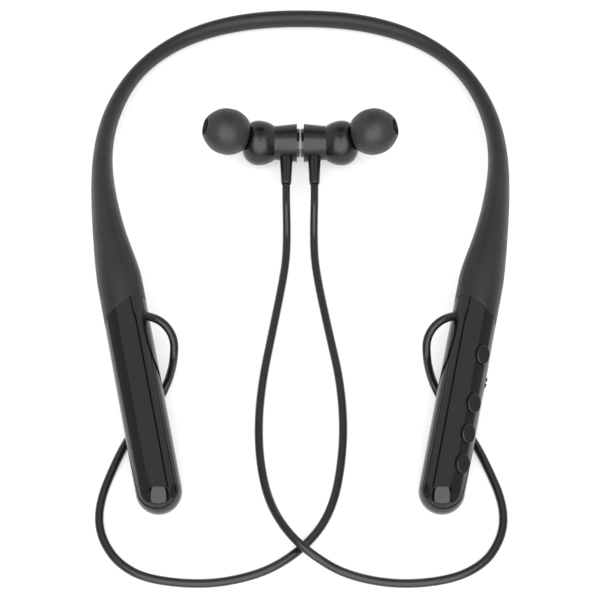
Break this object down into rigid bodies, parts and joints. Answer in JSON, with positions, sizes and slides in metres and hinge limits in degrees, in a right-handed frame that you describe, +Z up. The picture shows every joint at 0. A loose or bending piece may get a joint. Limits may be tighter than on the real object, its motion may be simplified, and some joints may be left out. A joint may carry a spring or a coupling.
{
  "type": "neckband earphones",
  "caption": "Wireless neckband earphones: slim flexible neckband ending in two round glossy pods, with magnetic in-ear buds on free cords.",
  "frame": {"origin": "middle of the footprint of the neckband, pods and earbuds, on the surface they lie on (cords left out)", "axes": "+X to the wearer's right pod, +Y from the pods towards the nape, +Z up from the surface the object lies on"},
  "size_m": [0.1262, 0.1938, 0.022],
  "materials": {
    "silicone_black": "soft matte",
    "shell_black": "polished",
    "button_black": "satin",
    "inner_plastic": "moulded",
    "cord_black": "satin",
    "boot_black": "matte",
    "tip_silicone": "soft matte",
    "magnet_metal": "bright nickel",
    "cap_metal": "gloss black with a bright edge",
    "steel": "bright",
    "wire_copper": "insulated wire",
    "board_green": "solder mask",
    "battery_foil": "foil pouch",
    "foam": "foam",
    "light_pipe": "clear"
  },
  "bodies": {
    "frame": {"neckband_sleeve": "silicone_black", "memory_wire": "steel", "link_wires": "wire_copper", "left_coupler": "inner_plastic", "right_coupler": "inner_plastic", "left_top_shell": "shell_black", "left_bottom_shell": "shell_black", "right_top_shell": "shell_black", "right_bottom_shell": "shell_black", "left_cord_grommet": "cord_black", "right_cord_grommet": "cord_black", "battery_cell": "battery_foil", "battery_board": "board_green", "battery_pad": "foam", "main_board": "board_green", "tact_switches": "steel", "bluetooth_module": "steel", "microphone": "steel", "usb_c_socket": "steel", "led_light_pipe": "light_pipe", "left_cord": "cord_black", "right_cord": "cord_black"},
    "power_button": {"button_power": "button_black"},
    "plus_button": {"button_plus": "button_black"},
    "play_button": {"button_play": "button_black"},
    "minus_button": {"button_minus": "button_black"},
    "flap": {"port_flap": "silicone_black"},
    "left_earbud": {"left_earbud_front_shell": "shell_black", "left_earbud_back_shell": "shell_black", "left_magnet_cap": "cap_metal", "left_magnet": "magnet_metal", "left_driver": "steel", "left_driver_gasket": "foam", "left_nozzle_mesh": "steel", "left_strain_relief": "boot_black"},
    "right_earbud": {"right_earbud_front_shell": "shell_black", "right_earbud_back_shell": "shell_black", "right_magnet_cap": "cap_metal", "right_magnet": "magnet_metal", "right_driver": "steel", "right_driver_gasket": "foam", "right_nozzle_mesh": "steel", "right_strain_relief": "boot_black"},
    "left_tip": {"left_ear_tip": "tip_silicone"},
    "right_tip": {"right_ear_tip": "tip_silicone"}
  },
  "joints": [
    {"name": "power_press", "type": "slide", "parent": "frame", "child": "power_button", "axis": [-0.6067, 0.2382, -0.7584], "range_m": [0, 0.0003], "stiffness_N_per_m": 150},
    {"name": "plus_press", "type": "slide", "parent": "frame", "child": "plus_button", "axis": [-0.6067, 0.2382, -0.7584], "range_m": [0, 0.0003], "stiffness_N_per_m": 150},
    {"name": "play_press", "type": "slide", "parent": "frame", "child": "play_button", "axis": [-0.6067, 0.2382, -0.7584], "range_m": [0, 0.0003], "stiffness_N_per_m": 150},
    {"name": "minus_press", "type": "slide", "parent": "frame", "child": "minus_button", "axis": [-0.6067, 0.2382, -0.7584], "range_m": [0, 0.0003], "stiffness_N_per_m": 150},
    {"name": "flap_hinge", "type": "hinge", "parent": "frame", "child": "flap", "pos_m": [0.05374, -0.0435, 0.01093], "axis": [0.1413, -0.1716, 0.975], "range_deg": [0, 100]},
    {"name": "left_earbud_pull", "type": "slide", "parent": "frame", "child": "left_earbud", "axis": [-1, 0, 0], "range_m": [0, 0.012]},
    {"name": "right_earbud_pull", "type": "slide", "parent": "frame", "child": "right_earbud", "axis": [1, 0, 0], "range_m": [0, 0.012]},
    {"name": "left_tip_pull", "type": "slide", "parent": "left_earbud", "child": "left_tip", "axis": [-0.9239, 0, 0.3827], "range_m": [0, 0.008]},
    {"name": "right_tip_pull", "type": "slide", "parent": "right_earbud", "child": "right_tip", "axis": [0.9239, 0, 0.3827], "range_m": [0, 0.008]}
  ]
}
